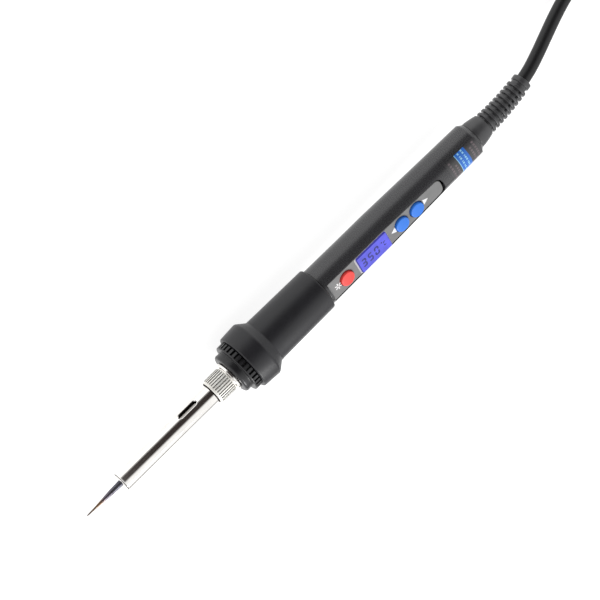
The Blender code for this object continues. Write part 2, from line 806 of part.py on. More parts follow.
def plug():
    """A flat two-pin plug whose own strain relief points at the iron."""
    # Each section: distance from the rear, half width, half height, squareness
    sections = (
        (0.0, 0.0040, 0.0040, 2.0),
        (RELIEF_LENGTH, 0.0052, 0.0050, 2.0),
        (RELIEF_LENGTH + 0.001, 0.0105, 0.0060, 2.6),
        (RELIEF_LENGTH + 0.008, 0.0170, PLUG_HALF_HEIGHT, 4.0),
        (PLUG_LENGTH - 0.001, PLUG_HALF_WIDTH, PLUG_HALF_HEIGHT, 5.0),
        (PLUG_LENGTH, PLUG_HALF_WIDTH - 0.0008, PLUG_HALF_HEIGHT - 0.0008, 5.0),
    )
    bm = bmesh.new()
    rings = [oval_ring(bm, PLUG_REAR + x, y, z, power) for x, y, z, power in sections]
    for first, second in zip(rings, rings[1:]):
        for k in range(len(first)):
            n = (k + 1) % len(first)
            bm.faces.new((first[k], first[n], second[n], second[k]))
    bm.faces.new(rings[0])
    bm.faces.new(rings[-1])
    body = add_object("plug_body", bm, PLUG)
    face = PLUG_REAR + PLUG_LENGTH
    gap = GAP * MM
    root, length, radius, point = (size / MM for size in (PIN_ROOT, PIN_LENGTH, PIN_R, PIN_POINT))
    profile = [(-root, 0), (-root, radius), (length - point, radius), (length, radius - point), (length, 0)]
    for name, y in (("plug_pin_live", PIN_OFFSET), ("plug_pin_neutral", -PIN_OFFSET)):
        hole = prism_mesh(circle(y, PLUG_Z, PIN_R + gap), face - PIN_ROOT - gap, face + 0.01, "X")
        cut(body, add_object(f"{name}_hole", hole, None))
        add_object(name, turned_mesh(profile, SMALL), BRASS, at=(face, y, PLUG_Z))


def build():
    soldering_tip()
    barrel_sleeve()
    barrel_nut()
    nipple()
    nipple_locknut()
    heater()
    heater_leads()
    front_cap()
    grip_sleeve()
    handle_shell()
    panel_plate()
    display()
    for name, station in BUTTONS.items():
        button(name, station, RED if name == "power" else BLUE)
        push_switch(name, station)
    circuit_board()
    board_parts()
    rating_label()
    strain_relief_boot()
    inner_cord()
    free_cord()
    hank()
    hank_tie()
    plug()


clear_scene()
AXIS = make_axis()
STEEL = material("bright_steel", (0.72, 0.70, 0.67), 0.25, 1.0)
STEEL_DARK = material("plated_tip", (0.25, 0.26, 0.29), 0.35, 1.0)
BRASS = material("nickelled_brass", (0.70, 0.66, 0.56), 0.3, 1.0)
CERAMIC = material("white_ceramic", (0.85, 0.84, 0.80), 0.5)
FIBRE = material("fibre_bush", (0.55, 0.45, 0.32), 0.8)
PLASTIC = material("charcoal_plastic", (0.05, 0.05, 0.055), 0.45)
RUBBER = material("black_rubber", (0.015, 0.015, 0.016), 0.7)
PANEL = material("panel_grey", (0.26, 0.26, 0.26), 0.3)
GLASS = material("clear_lens", (0.75, 0.78, 0.95), 0.08)
LCD = material("lcd_glass", (0.22, 0.24, 0.85), 0.2)
BLUE = material("blue_plastic", (0.07, 0.35, 0.95), 0.4)
RED = material("red_plastic", (0.95, 0.10, 0.08), 0.4)
BOARD = material("board_green", (0.03, 0.22, 0.08), 0.5)
ORANGE = material("capacitor_film", (0.60, 0.25, 0.04), 0.4)
LABEL = material("label_print", (0.10, 0.30, 0.70), 0.45)
RED_WIRE = material("red_insulation", (0.55, 0.03, 0.03), 0.6)
WHITE_WIRE = material("white_insulation", (0.80, 0.80, 0.78), 0.6)
BROWN_WIRE = material("brown_insulation", (0.20, 0.09, 0.03), 0.6)
BLUE_WIRE = material("blue_insulation", (0.05, 0.15, 0.55), 0.6)
FABRIC = material("tie_strap", (0.02, 0.02, 0.02), 0.95)
PLUG = material("plug_plastic", (0.02, 0.02, 0.02), 0.5)
build()
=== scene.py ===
"""Looks of the soldering iron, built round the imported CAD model.

Stations run along the iron's axis in millimetres from the point of the tip, and radii
are measured from that axis. The row frame is in metres: +X from tip to cord, +Z up.
"""

import math

import bmesh
import bpy
from mathutils import Matrix, Vector

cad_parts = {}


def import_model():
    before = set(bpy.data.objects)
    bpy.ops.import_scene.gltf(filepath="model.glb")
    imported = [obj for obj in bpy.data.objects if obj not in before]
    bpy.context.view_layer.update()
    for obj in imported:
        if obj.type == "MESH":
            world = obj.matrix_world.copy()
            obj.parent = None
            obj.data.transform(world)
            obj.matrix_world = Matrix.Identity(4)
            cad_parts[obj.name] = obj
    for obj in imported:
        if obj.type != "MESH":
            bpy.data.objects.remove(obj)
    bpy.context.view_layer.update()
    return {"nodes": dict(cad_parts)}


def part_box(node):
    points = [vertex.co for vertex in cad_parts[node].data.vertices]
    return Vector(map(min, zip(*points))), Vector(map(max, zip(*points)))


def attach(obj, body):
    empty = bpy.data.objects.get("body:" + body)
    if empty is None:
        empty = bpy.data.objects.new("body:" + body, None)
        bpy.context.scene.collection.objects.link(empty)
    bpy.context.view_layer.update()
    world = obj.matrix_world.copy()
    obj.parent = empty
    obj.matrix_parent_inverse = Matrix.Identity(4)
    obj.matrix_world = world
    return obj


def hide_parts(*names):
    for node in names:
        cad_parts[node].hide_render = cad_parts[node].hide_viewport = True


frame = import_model()

MM = 0.001
TIP_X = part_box("soldering_tip")[0].x
AXIS_Z = (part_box("barrel_sleeve")[0].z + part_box("barrel_sleeve")[1].z) / 2

# Hot end and front cap, in millimetres
BARREL_FRONT, BARREL_REAR, BARREL_R, BARREL_BORE = 19.7, 75.6, 4.55, 4.15
VENT_ANGLES = (80, 200, 320)  # degrees round the axis
VENT_FRONT, VENT_REAR = 56.7, 64.5
SHANK_FRONT, SHANK_REAR = 21.8, 68.0
NUT_R = 5.95
CROWN_R = 11.95

# Panel on the handle, in millimetres
PANEL_TOP = 7.05
PANEL_FRONT, PANEL_REAR = 138.4, 206.3
LEDGE = 5.6
BUTTON_R = 3.5
BUTTON_TOP = 8.25
BUTTONS = {"power": 148.1, "down": 181.2, "up": 190.2}
WINDOW_FRONT, WINDOW_REAR, WINDOW_HALF = 155.2, 172.9, 4.85
LENS_TOP = 7.95
PRINT_THICKNESS = 0.03

# The shell's stations and radii behind the grip, in millimetres
SHELL_OUTLINE = ((137.2, 9.2), (157.0, 9.05), (173.0, 9.0), (195.0, 8.55), (212.0, 8.25), (228.5, 8.0))

# Bend of the strain relief
BEND_START, BEND_LENGTH = 240.0, 24.0
BEND_ANGLE = math.radians(9.5)
BEND_SIDE = Vector((0.0, math.sqrt(0.5), -math.sqrt(0.5)))

# Cord, hank and plug, in metres
CORD_R = 0.003
CORD_LENGTH = 1.5
HANK_HALF = 0.027
HANK_WIDE, HANK_NARROW = 0.024, 0.018  # half widths of the outer and inner turns
FOLD_ROOM = 0.0035  # shift that keeps crossing folds apart
PLUG_ENTRY = 0.006
LEAD_IN = (  # from the boot down to the bench and on to the hank
    (0.13220, 0.00144, 0.01241),
    (0.13800, 0.00250, 0.01150),
    (0.14500, 0.00430, 0.01000),
    (0.15300, 0.00650, 0.00800),
    (0.16100, 0.00870, 0.00605),
    (0.16900, 0.01070, 0.00445),
    (0.17700, 0.01250, 0.00350),
    (0.18500, 0.01430, 0.00320),
    (0.19090, 0.01565, 0.00325),
    (0.19900, 0.01840, 0.00370),
    (0.20800, 0.02170, 0.00410),
)

# Shader settings of moulded parts that shine
GLOSSY = {"Specular IOR Level": 0.8}
HALF_GLOSSY = {"Specular IOR Level": 0.55}


# Geometry helpers ----------------------------------------------------------------


def straight(station, y, z):
    """The world point at a station, with y and z measured from the axis."""
    return Vector((TIP_X + station * MM, y * MM, AXIS_Z + z * MM))


def bent(station, y, z):
    """A point of the strain relief, whose axis bends down and aside after the handle."""
    past = max(0.0, station - BEND_START)
    angle = BEND_ANGLE * past / BEND_LENGTH
    radius = BEND_LENGTH / BEND_ANGLE
    turn = Matrix.Rotation(angle, 3, Vector((1, 0, 0)).cross(BEND_SIDE))
    centre = Vector((min(station, BEND_START) + radius * math.sin(angle), 0, 0))
    centre += BEND_SIDE * radius * (1 - math.cos(angle))
    return straight(*(centre + turn @ Vector((0, y, z))))


def rounded(points, steps=6):
    """A closed outline whose points (x, y, fillet radius) have their corners rounded."""
    made = []
    for k, (x, y, *radius) in enumerate(points):
        if not radius or not radius[0]:
            made.append((x, y))
            continue
        corner = Vector((x, y))
        before = (Vector(points[k - 1][:2]) - corner).normalized()
        after = (Vector(points[(k + 1) % len(points)][:2]) - corner).normalized()
        half = before.angle(after) / 2
        reach = radius[0] / math.tan(half)
        centre = corner + (before + after).normalized() * radius[0] / math.sin(half)
        start = corner + before * reach - centre
        turn = start.angle_signed(corner + after * reach - centre)
        for i in range(steps + 1):
            c, s = math.cos(-turn * i / steps), math.sin(-turn * i / steps)
            made.append((centre.x + c * start.x - s * start.y, centre.y + s * start.x + c * start.y))
    return made


def lathe(profile, segments=128, place=straight, shape=None):
    """Turns a closed profile of (station, radius) round the axis.

    shape(station, radius, angle) returns the radius of pieces that aren't round.
    """
    bm = bmesh.new()
    rings = []
    for station, radius in profile:
        if radius < 1e-6:
            rings.append([bm.verts.new(place(station, 0, 0))] * segments)
            continue
        ring = []
        for k in range(segments):
            angle = 2 * math.pi * k / segments
            r = shape(station, radius, angle) if shape else radius
            ring.append(bm.verts.new(place(station, r * math.sin(angle), r * math.cos(angle))))
        rings.append(ring)
    for first, second in zip(rings, rings[1:] + rings[:1]):
        for k in range(segments):
            n = (k + 1) % segments
            corners = dict.fromkeys((first[k], first[n], second[n], second[k]))
            if len(corners) > 2:
                bm.faces.new(corners)
    return bm


def loft(sections):
    """Joins sections of equal point counts, given as lists of world points, and caps the ends."""
    bm = bmesh.new()
    rings = [[bm.verts.new(p) for p in section] for section in sections]
    for first, second in zip(rings, rings[1:]):
        for k in range(len(first)):
            n = (k + 1) % len(first)
            bm.faces.new((first[k], first[n], second[n], second[k]))
    bm.faces.new(rings[0])
    bm.faces.new(rings[-1])
    return bm


def inset(outline, depth):
    """A convex outline moved inwards by depth."""
    made = []
    centre = sum((Vector(p) for p in outline), Vector((0, 0))) / len(outline)
    for k, point in enumerate(outline):
        along = Vector(outline[(k + 1) % len(outline)]) - Vector(outline[k - 1])
        normal = Vector((along.y, -along.x)).normalized()
        if normal.dot(Vector(point) - centre) < 0:
            normal.negate()
        made.append(tuple(Vector(point) - normal * depth))
    return made


def slab(outline, low, high, chamfer=0.0):
    """A flat piece with this outline from above, between two heights over the axis."""
    levels = [(outline, low), (outline, high - chamfer)]
    if chamfer:
        levels.append((inset(outline, chamfer), high))
    return loft([[straight(x, y, z) for x, y in points] for points, z in levels])


def arc(cx, cy, radius, start, end, steps):
    angles = [math.radians(start + (end - start) * k / steps) for k in range(steps + 1)]
    return [(cx + radius * math.cos(a), cy + radius * math.sin(a)) for a in angles]


def box_outline(x0, x1, y0, y1, radius):
    corners = [(x1, y1, radius), (x0, y1, radius), (x0, y0, radius), (x1, y0, radius)]
    return rounded(corners, 8)


def piece(name, bm, finish, body, *replaced, slot=None, sharp=35):
    """One visible piece, which rides on a body and stands for the CAD nodes it replaces."""
    bmesh.ops.recalc_face_normals(bm, faces=bm.faces)
    mesh = bpy.data.meshes.new(name)
    bm.to_mesh(mesh)
    bm.free()
    mesh.materials.append(finish)
    obj = bpy.data.objects.new(name, mesh)
    bpy.context.scene.collection.objects.link(obj)
    smooth(obj, sharp)
    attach(obj, body)
    if replaced:
        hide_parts(*replaced)
    return obj


def paint(obj, finish, chosen):
    """Gives the faces for which chosen(centre, normal) is true a second material."""
    obj.data.materials.append(finish)
    last = len(obj.data.materials) - 1
    for face in obj.data.polygons:
        if chosen(face.center, face.normal):
            face.material_index = last


def from_axis(point):
    """Distance from the iron's axis, in millimetres."""
    return math.hypot(point.y, point.z - AXIS_Z) / MM


def smooth(obj, sharp):
    """Shades smooth, except over edges sharper than this many degrees."""
    obj.data.shade_smooth()
    obj.data.set_sharp_from_angle(angle=math.radians(sharp))


def carve(obj, cutters, sharp=35):
    """Cuts the meshes out of the piece for good."""
    for bm in cutters:
        bmesh.ops.recalc_face_normals(bm, faces=bm.faces)
        mesh = bpy.data.meshes.new("cutter")
        bm.to_mesh(mesh)
        bm.free()
        tool = bpy.data.objects.new("cutter", mesh)
        bpy.context.scene.collection.objects.link(tool)
        modifier = obj.modifiers.new("cut", "BOOLEAN")
        modifier.operation = "DIFFERENCE"
        modifier.object = tool
        graph = bpy.context.evaluated_depsgraph_get()
        result = bpy.data.meshes.new_from_object(obj.evaluated_get(graph))
        obj.modifiers.clear()
        obj.data = result
        bpy.data.objects.remove(tool, do_unlink=True)
    smooth(obj, sharp)


def shell_radius(station):
    """Radius of the handle shell behind the grip, at a station of the axis."""
    for (a0, r0), (a1, r1) in zip(SHELL_OUTLINE, SHELL_OUTLINE[1:]):
        if station <= a1:
            return r0 + (r1 - r0) * (station - a0) / (a1 - a0)
    return SHELL_OUTLINE[-1][1]


# Materials -----------------------------------------------------------------------


def base_material(name, color, roughness, metallic=0.0, **sockets):
    made = bpy.data.materials.new(name)
    made.use_nodes = True
    shader = made.node_tree.nodes["Principled BSDF"]
    shader.inputs["Base Color"].default_value = (*color, 1.0)
    shader.inputs["Roughness"].default_value = roughness
    shader.inputs["Metallic"].default_value = metallic
    for socket, value in sockets.items():
        shader.inputs[socket].default_value = value
    return made, made.node_tree, shader


def coordinates(tree, stretch=(1, 1, 1)):
    """Object coordinates in millimetres, stretched along the axes."""
    where = tree.nodes.new("ShaderNodeTexCoord")
    mapping = tree.nodes.new("ShaderNodeMapping")
    mapping.inputs["Scale"].default_value = [s / MM for s in stretch]
    tree.links.new(where.outputs["Object"], mapping.inputs["Vector"])
    return mapping.outputs["Vector"]


def noise(tree, vector, scale, detail=3.0, roughness=0.5):
    made = tree.nodes.new("ShaderNodeTexNoise")
    made.inputs["Scale"].default_value = scale
    made.inputs["Detail"].default_value = detail
    made.inputs["Roughness"].default_value = roughness
    tree.links.new(vector, made.inputs["Vector"])
    return made.outputs["Fac"]


def ramp(tree, value, low, high, at=(0.3, 0.7)):
    """Colours between low and high as value goes from one end of at to the other."""
    made = tree.nodes.new("ShaderNodeValToRGB")
    made.color_ramp.elements[0].position, made.color_ramp.elements[1].position = at
    made.color_ramp.elements[0].color = (*low, 1)
    made.color_ramp.elements[1].color = (*high, 1)
    tree.links.new(value, made.inputs["Fac"])
    return made.outputs["Color"]


def span(tree, value, low, high, start=0.3, end=0.7):
    """A number that goes from low to high as value goes from start to end."""
    made = tree.nodes.new("ShaderNodeMapRange")
    for socket, number in (("From Min", start), ("From Max", end), ("To Min", low), ("To Max", high)):
        made.inputs[socket].default_value = number
    tree.links.new(value, made.inputs["Value"])
    return made.outputs["Result"]


def bump(tree, shader, height, distance):
    """Relief of this depth in millimetres."""
    made = tree.nodes.new("ShaderNodeBump")
    made.inputs["Distance"].default_value = distance * MM
    made.inputs["Strength"].default_value = 1.0
    tree.links.new(height, made.inputs["Height"])
    tree.links.new(made.outputs["Normal"], shader.inputs["Normal"])


def shades(color, spread):
    """A darker and a lighter version of a colour."""
    return [c * (1 - spread) for c in color], [min(1.0, c * (1 + spread)) for c in color]


def moulded(name, color, roughness, grain=0.012, spread=0.12, **sockets):
    """Moulded plastic or rubber: a fine spark-eroded grain and slightly uneven sheen."""
    made, tree, shader = base_material(name, color, roughness, **sockets)
    where = coordinates(tree)
    broad = noise(tree, where, 0.12, 2.0)
    fine = noise(tree, where, 2.2, 4.0, 0.6)
    tree.links.new(ramp(tree, broad, *shades(color, spread)), shader.inputs["Base Color"])
    sheen = span(tree, fine, roughness - 0.05, roughness + 0.07)
    tree.links.new(sheen, shader.inputs["Roughness"])
    bump(tree, shader, fine, grain)
    return made


def brushed(name, color, roughness, metallic=1.0):
    """Metal with fine drawing marks along the axis."""
    made, tree, shader = base_material(name, color, roughness, metallic)
    marks = noise(tree, coordinates(tree, (0.04, 1, 1)), 5.0, 4.0, 0.7)
    cloud = noise(tree, coordinates(tree), 0.15, 2.0)
    tree.links.new(ramp(tree, cloud, *shades(color, 0.06)), shader.inputs["Base Color"])
    tree.links.new(span(tree, marks, roughness - 0.05, roughness + 0.08), shader.inputs["Roughness"])
    bump(tree, shader, marks, 0.002)
    return made


def heat_tinted(name):
    """Iron-plated copper: dark at the base, then blue-grey, a brown band and a grey point."""
    made, tree, shader = base_material(name, (0.3, 0.3, 0.32), 0.3, 1.0)
    where = tree.nodes.new("ShaderNodeTexCoord")
    parts = tree.nodes.new("ShaderNodeSeparateXYZ")
    tree.links.new(where.outputs["Object"], parts.inputs["Vector"])
    along = span(tree, parts.outputs["X"], 0.0, 1.0, TIP_X, TIP_X + 22 * MM)
    tint = tree.nodes.new("ShaderNodeValToRGB")
    stops = (  # distance along the working end, from 0 at its point to 1, and colour
        (0.0, (0.16, 0.14, 0.13)),
        (0.16, (0.17, 0.13, 0.10)),
        (0.34, (0.22, 0.14, 0.09)),
        (0.48, (0.16, 0.14, 0.17)),
        (0.75, (0.11, 0.11, 0.13)),
        (1.0, (0.05, 0.05, 0.06)),
    )
    for k, (position, color) in enumerate(stops):
        stop = tint.color_ramp.elements[k] if k < 2 else tint.color_ramp.elements.new(position)
        stop.position = position
        stop.color = (*color, 1)
    tree.links.new(along, tint.inputs["Fac"])
    tree.links.new(tint.outputs["Color"], shader.inputs["Base Color"])
    marks = noise(tree, coordinates(tree, (0.3, 1, 1)), 4.0, 4.0, 0.7)
    tree.links.new(span(tree, marks, 0.22, 0.42), shader.inputs["Roughness"])
    bump(tree, shader, marks, 0.01)
    return made


def dots(tree, pitch):
    """A fine square grid of dots, from 0 between them to 1 on them."""
    waves = []
    for direction in "XY":
        wave = tree.nodes.new("ShaderNodeTexWave")
        wave.bands_direction = direction
        wave.inputs["Scale"].default_value = math.pi / (10 * pitch)
        tree.links.new(coordinates(tree), wave.inputs["Vector"])
        waves.append(wave.outputs["Fac"])
    product = tree.nodes.new("ShaderNodeMath")
    product.operation = "MULTIPLY"
    tree.links.new(waves[0], product.inputs[0])
    tree.links.new(waves[1], product.inputs[1])
    return product.outputs[0]


def glowing(name, color, pitch=0.0):
    """A backlit face, with the fine dots of its light guide where a pitch is given."""
    made, tree, shader = base_material(name, (0.01, 0.01, 0.03), 0.5)
    shader.inputs["Emission Strength"].default_value = 1.0
    cloud = noise(tree, coordinates(tree), 0.25, 2.0)
    low, high = [c * 0.82 for c in color], [min(1.0, c * 1.12) for c in color]
    light = ramp(tree, cloud, low, high)
    if pitch:
        mix = tree.nodes.new("ShaderNodeMixRGB")
        mix.blend_type = "MULTIPLY"
        mix.inputs["Fac"].default_value = 1.0
        tree.links.new(light, mix.inputs["Color1"])
        grid = ramp(tree, dots(tree, pitch), (1, 1, 1), (0.78, 0.78, 0.88), (0.2, 0.8))
        tree.links.new(grid, mix.inputs["Color2"])
        light = mix.outputs["Color"]
    tree.links.new(light, shader.inputs["Emission Color"])
    return made


def woven(name, color):
    """Narrow nylon webbing: fine ribs both ways, matt."""
    made, tree, shader = base_material(name, color, 0.85, **{"Sheen Weight": 0.3})
    low, high = [c * 0.6 for c in color], [c * 1.6 for c in color]
    weave = dots(tree, 0.45)
    tree.links.new(ramp(tree, weave, low, high), shader.inputs["Base Color"])
    bump(tree, shader, weave, 0.12)
    return made


def speckled(name, color, roughness, spread=0.25, scale=1.2, grain=0.03):
    """Ceramic, fibre or laminate: mottled colour and a fine tooth."""
    made, tree, shader = base_material(name, color, roughness)
    specks = noise(tree, coordinates(tree), scale, 6.0, 0.7)
    tree.links.new(ramp(tree, specks, *shades(color, spread)), shader.inputs["Base Color"])
    tree.links.new(span(tree, specks, roughness - 0.08, roughness + 0.08), shader.inputs["Roughness"])
    bump(tree, shader, specks, grain)
    return made


# Hot end -------------------------------------------------------------------------


def soldering_tip(finish, polished):
    """The working end, and the tubular shank that stays bright inside the barrel."""
    profile = rounded(
        [
            (0.0, 0.0),
            (0.10, 0.16, 0.05),
            (0.9, 0.33, 0.6),
            (5.0, 0.50, 6),
            (9.0, 0.78, 6),
            (14.0, 1.20, 8),
            (20.6, 1.40),
            (21.5, 2.0),
            (21.6, 3.6),
            (21.9, 3.8),
            (24.0, 3.8),
            (24.3, 3.25),
            (SHANK_REAR, 3.25),
            (SHANK_REAR, 2.05),
            (27.5, 2.05),
            (26.8, 0.0),
        ]
    )
    made = piece("tip_fine", lathe(profile, 96), finish, "barrel", "soldering_tip", slot="tip_plating")
    paint(made, polished, lambda centre, normal: centre.x > TIP_X + SHANK_FRONT * MM)


def barrel_sleeve(finish, scorch_and_shade):
    """A tube that closes round the tip, with a flange behind and three bevelled slots."""
    front_wall, flange_front, flange_r = 20.2, 74.8, 4.95
    # The ring from here to the nut is painted shade, where the nut meets the barrel
    shade_ring_front = 72.9
    profile = rounded(
        [
            (BARREL_FRONT, 1.7, 0.12),
            (BARREL_FRONT, BARREL_R, 1.3),
            (shade_ring_front, BARREL_R),
            (flange_front, BARREL_R),
            (flange_front, flange_r, 0.1),
            (BARREL_REAR, flange_r, 0.1),
            (BARREL_REAR, BARREL_BORE),
            (front_wall, BARREL_BORE, 0.9),
            (front_wall, 1.7),
        ]
    )
    sleeve = piece("barrel_fine", lathe(profile, 160), finish, "barrel", "barrel_sleeve", slot="barrel_steel")
    cutters = []
    for degrees in VENT_ANGLES:
        turn = Matrix.Rotation(math.radians(-degrees), 3, "X")
        levels = []
        for z, half in ((2.8, 1.05), (4.21, 1.05), (4.33, 1.4), (6.5, 1.4)):
            outline = arc(VENT_REAR, 0, half, -90, 90, 16) + arc(VENT_FRONT, 0, half, 90, 270, 16)
            levels.append([straight(*(turn @ Vector((x, y, z)))) for x, y in outline])
        cutters.append(loft(levels))
    carve(sleeve, cutters)

    def inside_or_rear(centre, normal):
        bore = from_axis(centre) < BARREL_BORE + 0.15
        inside = bore and centre.x > TIP_X + (front_wall - 0.1) * MM
        return inside or centre.x > TIP_X + (shade_ring_front + 0.1) * MM

    # Dark steel: heat scorching on the bore and the slot walls, painted shade on the ring just in front of
    # the nut
    paint(sleeve, scorch_and_shade, inside_or_rear)


def ridges(count, depth, land, blend=0.12):
    """A radius function with count axial grooves: land is the share left standing."""

    def shape(angle):
        phase = (angle * count / (2 * math.pi)) % 1.0
        away = abs(phase - 0.5) * 2
        return depth * min(1.0, max(0.0, (away - land) / blend + 0.5))

    return shape


def barrel_nut(finish, groove_shade):
    """A smooth front rim, then axial grooves; the groove walls and the lip's front face carry painted shade.
    """
    bore = 5.25
    profile = rounded(
        [
            (73.5, 4.8, 0.1),
            (73.5, 5.2, 0.1),
            (73.4, 5.4, 0.1),
            (73.7, 5.75, 0.25),
            (74.4, 5.75, 0.1),
            (74.5, NUT_R, 0.1),
            (82.0, NUT_R, 0.15),
            (82.2, 5.55, 0.1),
            (82.6, 5.5, 0.15),
            (82.6, bore),
            (74.4, bore),
            (74.4, 4.8),
        ]
    )
    groove = ridges(30, 0.38, 0.62, 0.08)

    def knurled(station, radius, angle):
        return radius - groove(angle) if radius > NUT_R - 0.1 else radius

    body = lathe(profile, 480, shape=knurled)
    made = piece("nut_fine", body, finish, "nut", "barrel_nut", slot="knurled_steel", sharp=50)

    def wall_or_lip(centre, normal):
        outward = Vector((0, centre.y, centre.z - AXIS_Z)).normalized()
        wall = abs(normal.x) < 0.5 and abs(normal.dot(outward)) < 0.8
        lip = normal.x < -0.5 and from_axis(centre) < 5.35
        return wall or lip

    # Painted shade: the groove walls and the lip's front face get a near-black steel
    paint(made, groove_shade, wall_or_lip)


def nipple(finish):
    """A tube that runs into the cap, with a thin flange in front of it."""
    profile = rounded(
        [
            (76.2, 3.6),
            (76.2, 4.6, 0.1),
            (76.6, 4.95, 0.1),
            (82.9, 4.95),
            (82.9, 7.0, 0.3),
            (84.1, 7.0, 0.3),
            (84.1, 4.5),
            (98.0, 4.5),
            (98.0, 3.6),
        ]
    )
    piece("nipple_fine", lathe(profile, 128), finish, "handle", "nipple", slot="nipple_steel")


# Handle --------------------------------------------------------------------------


def front_cap(finish):
    """A rounded step, then a crown whose slots start behind a thin rim."""
    floor = CROWN_R - 0.01  # tells the slotted part of the profile from the rim
    profile = rounded(
        [
            (84.4, 4.8),
            (84.4, 9.9, 1.2),
            (87.1, 9.75, 0.9),
            (88.0, 9.75, 0.3),
            (88.0, CROWN_R, 0.45),
            (88.6, CROWN_R),
            (88.65, floor),
            (91.3, floor),
            (91.3, 7.1),
            (98.0, 7.1),
            (98.0, 6.2),
            (89.5, 6.2),
            (89.5, 4.8),
        ]
    )
    groove = ridges(32, 1.1, 0.56, 0.1)

    def slotted(station, radius, angle):
        return radius - groove(angle) if abs(radius - floor) < 0.005 else radius

    body = lathe(profile, 384, shape=slotted)
    piece("front_cap_fine", body, finish, "handle", "front_cap", slot="cap_plastic", sharp=50)


def grip_sleeve(finish):
    """A rubber sleeve: a wide flare in front, then a slight taper to the rear."""
    profile = rounded(
        [
            (91.6, 9.3),
            (91.6, 13.45, 0.7),
            (100.4, 13.95, 2.0),
            (104.4, 10.85, 1.0),
            (108.0, 10.75, 6),
            (136.9, 10.4, 0.75),
            (136.9, 9.3, 0.1),
        ],
        10,
    )
    piece("grip_fine", lathe(profile, 160), finish, "handle", "grip_sleeve", slot="grip_rubber")


def panel_outline(inside, front, rear):
    """The panel from above: it narrows with the handle and has a rounded rear end."""
    stations = (front, 148.0, 157.0, 165.0, 173.0, 184.0, 195.0)
    sides = [(a, math.sqrt(shell_radius(a) ** 2 - PANEL_TOP**2) - inside) for a in stations]
    end = math.sqrt(shell_radius(rear) ** 2 - PANEL_TOP**2) - inside
    corner, bulge = 2.6, 0.5
    points = sides + [(rear - bulge, end, corner), (rear, 0.0, 12.0)]
    points += [(rear - bulge, -end, corner)] + [(a, -y) for a, y in reversed(sides)]
    return rounded(points, 8)


def handle_shell(finish):
    """A tapering tube, stepped down under the grip, with a flat recess for the panel."""
    inner = [(a, r - 1.6) for a, r in reversed(SHELL_OUTLINE)]
    profile = rounded(
        [
            (92.1, 7.4),
            (92.1, 9.0),
            (137.2, 9.0),
            (137.2, 9.2, 0.15),
            (157.0, 9.05, 40),
            (173.0, 9.0, 40),
            (195.0, 8.55, 40),
            (212.0, 8.25, 40),
            (228.6, 8.0, 0.8),
            (230.5, 6.7, 0.3),
            (230.5, 4.4),
            (228.5, 4.4),
            *inner,
        ]
    )
    shell = piece("shell_fine", lathe(profile, 192), finish, "handle", "handle_shell", slot="shell_plastic")
    recess = panel_outline(0.02, PANEL_FRONT, PANEL_REAR)
    carve(shell, [slab(recess, LEDGE, 12.0)])


def window_outline(margin, radius):
    """The display window from above, grown by margin all round."""
    half = WINDOW_HALF + margin
    return box_outline(WINDOW_FRONT - margin, WINDOW_REAR + margin, -half, half, radius)


def flared_hole(station, radius):
    """A cutter for a round hole whose top edge is broken."""
    low, high, chamfer = LEDGE - 1, PANEL_TOP, 0.18
    wide = radius + chamfer
    levels = ((low, radius), (high - chamfer, radius), (high + 0.02, wide), (high + 1, wide))
    circle = arc(0, 0, 1, 0, 360, 64)[:-1]
    return loft([[straight(station + x * r, y * r, z) for x, y in circle] for z, r in levels])


def panel_plate(finish):
    """A flat plate with holes for the buttons and the window."""
    outline = panel_outline(0.5, PANEL_FRONT + 0.3, PANEL_REAR - 0.7)
    body = slab(outline, LEDGE + 0.3, PANEL_TOP, 0.2)
    plate = piece("panel_fine", body, finish, "handle", "panel_plate", slot="panel_plastic")
    cutters = [flared_hole(station, BUTTON_R + 0.28) for station in BUTTONS.values()]
    low, high = LEDGE - 1, PANEL_TOP
    window = window_outline(0.08, 0.9)
    grown = inset(window, -0.1)
    levels = ((window, low), (window, high - 0.1), (grown, high + 0.01), (grown, high + 1))
    cutters.append(loft([[straight(x, y, z) for x, y in points] for points, z in levels]))
    carve(plate, cutters, 25)


# The bars of each mark: a to f run clockwise from the top one, g lies across the middle
SEGMENTS = {"0": "abcdef", "3": "abgcd", "5": "afgcd", "C": "afed"}


def seven_segments(mark, left, foot, width, height, thick):
    """Outlines of one digit's bars, reading along +X with its top towards +Y."""
    x0, x1 = left, left + width
    y0, y1, ym = foot, foot + height, foot + height / 2
    gap = thick * 0.28
    bars = {
        "a": ((x0, y1 - thick / 2), (x1, y1 - thick / 2)),
        "d": ((x0, y0 + thick / 2), (x1, y0 + thick / 2)),
        "g": ((x0, ym), (x1, ym)),
        "f": ((x0 + thick / 2, ym), (x0 + thick / 2, y1)),
        "b": ((x1 - thick / 2, ym), (x1 - thick / 2, y1)),
        "e": ((x0 + thick / 2, y0), (x0 + thick / 2, ym)),
        "c": ((x1 - thick / 2, y0), (x1 - thick / 2, ym)),
    }
    outlines = []
    for letter in SEGMENTS[mark]:
        start, end = (Vector(p) for p in bars[letter])
        along = (end - start).normalized()
        across = Vector((-along.y, along.x)) * thick / 2
        start, end = start + along * gap, end - along * gap
        nose = along * thick / 2
        left_side = [start + nose + across, end - nose + across]
        right_side = [end - nose - across, start + nose - across]
        outlines.append([start, *left_side, end, *right_side])
    return outlines


def flat_print(name, outlines, height, finish):
    """Printed marks as one thin piece lying at this height over the axis."""
    bm = bmesh.new()
    for outline in outlines:
        low = [bm.verts.new(straight(x, y, height)) for x, y in outline]
        high = [bm.verts.new(straight(x, y, height + PRINT_THICKNESS)) for x, y in outline]
        for k in range(len(low)):
            n = (k + 1) % len(low)
            bm.faces.new((low[k], low[n], high[n], high[k]))
        bm.faces.new(low)
        bm.faces.new(high)
    return piece(name, bm, finish, "handle")


